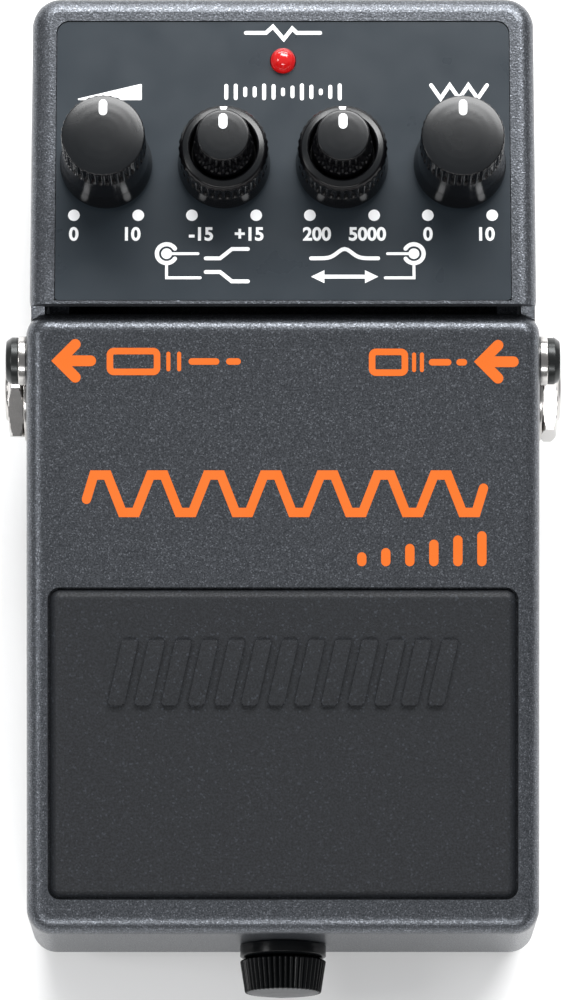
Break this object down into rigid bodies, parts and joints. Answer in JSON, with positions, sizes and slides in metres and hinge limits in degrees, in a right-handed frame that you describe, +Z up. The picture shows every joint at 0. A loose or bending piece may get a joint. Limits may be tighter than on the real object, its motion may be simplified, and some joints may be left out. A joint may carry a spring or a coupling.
{
  "type": "guitar effects pedal",
  "caption": "Compact guitar effects pedal: die-cast case, sprung rubber-topped treadle on side pivots, front thumbscrew, two single and two concentric knobs, side sockets.",
  "frame": {"origin": "centre of the bounding box on the floor, under the rubber base", "axes": "+X to the player's right (input socket), +Y to the rear (knob end), +Z up"},
  "size_m": [0.073, 0.129, 0.059],
  "materials": {
    "case_paint": "die-cast, painted satin with fine metallic fleck",
    "treadle_paint": "die-cast, painted satin with fine metallic fleck",
    "panel": "satin",
    "rubber": "fine grain",
    "sole_rubber": "matt",
    "knob_plastic": "gloss",
    "black_plastic": "matt",
    "nylon": "matt",
    "chrome": "polished",
    "zinc": "zinc plated",
    "black_screw": "black oxide",
    "base_steel": "painted",
    "spring_steel": "bright",
    "shaft_metal": "turned",
    "lens": "clear red",
    "board": "solder mask",
    "card": "fibre",
    "battery_can": "printed can",
    "wire": "insulation"
  },
  "bodies": {
    "case": {"case_shell": "case_paint", "base_plate": "base_steel", "rubber_base": "sole_rubber", "base_screws": "zinc", "insulating_sheet": "card", "pivot_screws": "black_screw", "pivot_washers": "chrome", "switch_body": "black_plastic", "switch_pcb": "board", "output_jack_body": "black_plastic", "output_jack_bushing": "chrome", "output_jack_washer": "chrome", "output_jack_nut": "chrome", "input_jack_body": "black_plastic", "input_jack_bushing": "chrome", "input_jack_washer": "chrome", "input_jack_nut": "chrome", "dc_jack_housing": "black_plastic", "dc_jack_pin": "chrome", "battery": "battery_can", "battery_snap": "black_plastic", "battery_leads": "wire", "main_pcb": "board", "control_pcb": "board", "board_link_pins": "zinc", "main_pcb_components": "black_plastic", "switch_ribbon": "black_plastic", "panel_plate": "panel", "led_lens": "lens", "level_pot_body": "zinc", "low_high_pot_body": "zinc", "middle_pot_body": "zinc", "gain_pot_body": "zinc", "pot_washers": "zinc", "pot_nuts": "zinc"},
    "hinge_sleeve": {"pivot_bushes": "nylon", "coil_spring": "spring_steel"},
    "treadle": {"treadle_shell": "treadle_paint", "rubber_pad": "rubber", "spring_seat": "black_plastic", "switch_presser": "sole_rubber"},
    "screw_collar": {"thumbscrew_collar": "black_plastic"},
    "thumbscrew": {"thumbscrew_knob": "black_plastic", "thumbscrew_shank": "zinc"},
    "plunger": {"switch_plunger": "nylon"},
    "level_control": {"level_knob": "knob_plastic", "level_shaft": "shaft_metal"},
    "gain_control": {"gain_knob": "knob_plastic", "gain_shaft": "shaft_metal"},
    "bass_control": {"bass_ring_knob": "knob_plastic", "bass_outer_shaft": "shaft_metal"},
    "treble_control": {"treble_knob": "knob_plastic", "treble_inner_shaft": "shaft_metal"},
    "frequency_control": {"frequency_ring_knob": "knob_plastic", "frequency_outer_shaft": "shaft_metal"},
    "middle_control": {"middle_knob": "knob_plastic", "middle_inner_shaft": "shaft_metal"}
  },
  "joints": [
    {"name": "treadle_open", "type": "hinge", "parent": "case", "child": "hinge_sleeve", "pos_m": [0, 0.0152, 0.035], "axis": [-1, 0, 0], "range_deg": [0, 52]},
    {"name": "treadle_press", "type": "hinge", "parent": "hinge_sleeve", "child": "treadle", "pos_m": [0, 0.0152, 0.035], "axis": [1, 0, 0], "range_deg": [0, 2.3], "stiffness_Nm_per_rad": 16, "springref_deg": -2.86, "deforming": ["coil_spring"]},
    {"name": "screw_travel", "type": "slide", "parent": "treadle", "child": "screw_collar", "axis": [0, -1, 0], "range_m": [0, 0.005]},
    {"name": "thumbscrew_turn", "type": "hinge", "parent": "screw_collar", "child": "thumbscrew", "pos_m": [0, -0.062, 0.013], "axis": [0, -1, 0], "range_deg": [0, 2572]},
    {"name": "plunger_travel", "type": "slide", "parent": "case", "child": "plunger", "axis": [0, 0, -1], "range_m": [0, 0.0022]},
    {"name": "level_turn", "type": "hinge", "parent": "case", "child": "level_control", "pos_m": [-0.02272, 0.0387, 0.05], "axis": [0, 0, 1], "range_deg": [-148, 148]},
    {"name": "bass_turn", "type": "hinge", "parent": "case", "child": "bass_control", "pos_m": [-0.00758, 0.0387, 0.05], "axis": [0, 0, 1], "range_deg": [-148, 148]},
    {"name": "treble_turn", "type": "hinge", "parent": "case", "child": "treble_control", "pos_m": [-0.00758, 0.0387, 0.05], "axis": [0, 0, 1], "range_deg": [-148, 148]},
    {"name": "frequency_turn", "type": "hinge", "parent": "case", "child": "frequency_control", "pos_m": [0.00758, 0.0387, 0.05], "axis": [0, 0, 1], "range_deg": [-148, 148]},
    {"name": "middle_turn", "type": "hinge", "parent": "case", "child": "middle_control", "pos_m": [0.00758, 0.0387, 0.05], "axis": [0, 0, 1], "range_deg": [-148, 148]},
    {"name": "gain_turn", "type": "hinge", "parent": "case", "child": "gain_control", "pos_m": [0.02272, 0.0387, 0.05], "axis": [0, 0, 1], "range_deg": [-148, 148]}
  ],
  "couplings": [
    {"joint": "thumbscrew_turn", "follows": "screw_travel", "rad_per_m": 8976},
    {"joint": "plunger_travel", "follows": "treadle_press", "m_per_rad": 0.0541}
  ]
}
